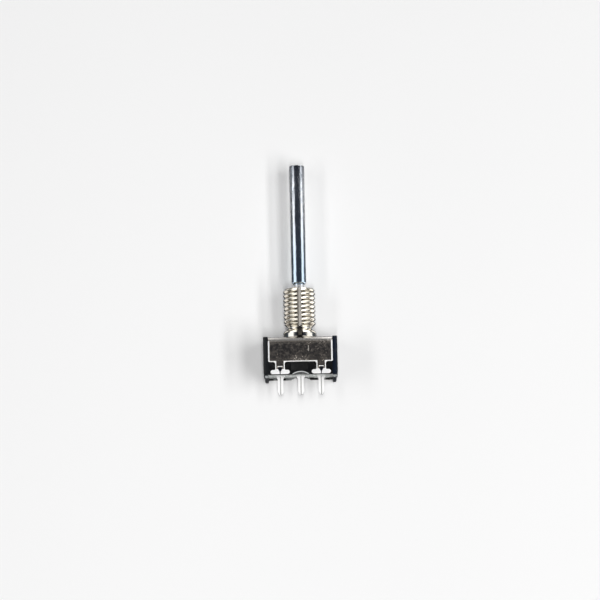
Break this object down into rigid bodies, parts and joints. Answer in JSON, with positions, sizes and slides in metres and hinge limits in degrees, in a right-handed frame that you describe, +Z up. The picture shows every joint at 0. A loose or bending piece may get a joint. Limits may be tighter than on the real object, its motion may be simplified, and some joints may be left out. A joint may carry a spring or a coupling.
{
  "type": "toggle switch",
  "caption": "Sub-miniature toggle switch with a long plain lever, a threaded keyed bushing and straight circuit-board pins.",
  "frame": {"origin": "board plane (bottom of the case's end walls) at the centre pin", "axes": "+Z up the bushing axis towards the lever's tip, X along the row of pins, front face towards -Y"},
  "size_m": [0.0092, 0.0052, 0.0289],
  "materials": {
    "case_plastic": "semi-gloss moulded",
    "resin": "cast",
    "frame_metal": "tin plated, satin",
    "bushing_metal": "nickel plated, bright",
    "lever_metal": "chrome plated, bright",
    "nylon": "moulded",
    "spring_steel": "drawn wire",
    "rocker_metal": "rolled strip",
    "contact_silver": "silver",
    "terminal_metal": "silver plated"
  },
  "bodies": {
    "housing": {"case": "case_plastic", "epoxy_seal": "resin", "frame": "frame_metal", "bushing": "bushing_metal", "center_terminal": "terminal_metal", "left_terminal": "terminal_metal", "right_terminal": "terminal_metal", "left_fixed_contact": "contact_silver", "right_fixed_contact": "contact_silver"},
    "lever": {"lever": "lever_metal", "plunger_spring": "spring_steel"},
    "plunger": {"plunger": "nylon"},
    "rocker": {"rocker": "rocker_metal", "left_moving_contact": "contact_silver", "right_moving_contact": "contact_silver"}
  },
  "joints": [
    {"name": "lever_tilt", "type": "hinge", "parent": "housing", "child": "lever", "pos_m": [0, 0, 0.0078], "axis": [0, 1, 0], "range_deg": [-12, 12]},
    {"name": "plunger_slide", "type": "slide", "parent": "lever", "child": "plunger", "axis": [0, 0, 1], "range_m": [0, 0.00025], "stiffness_N_per_m": 600, "springref_m": -0.0005, "deforming": ["plunger_spring"]},
    {"name": "rocker_tilt", "type": "hinge", "parent": "housing", "child": "rocker", "pos_m": [0, 0, 0.0024], "axis": [0, 1, 0], "range_deg": [-9, 9]}
  ],
  "couplings": [
    {"joint": "rocker_tilt", "follows": "lever_tilt", "ratio": -0.75}
  ]
}
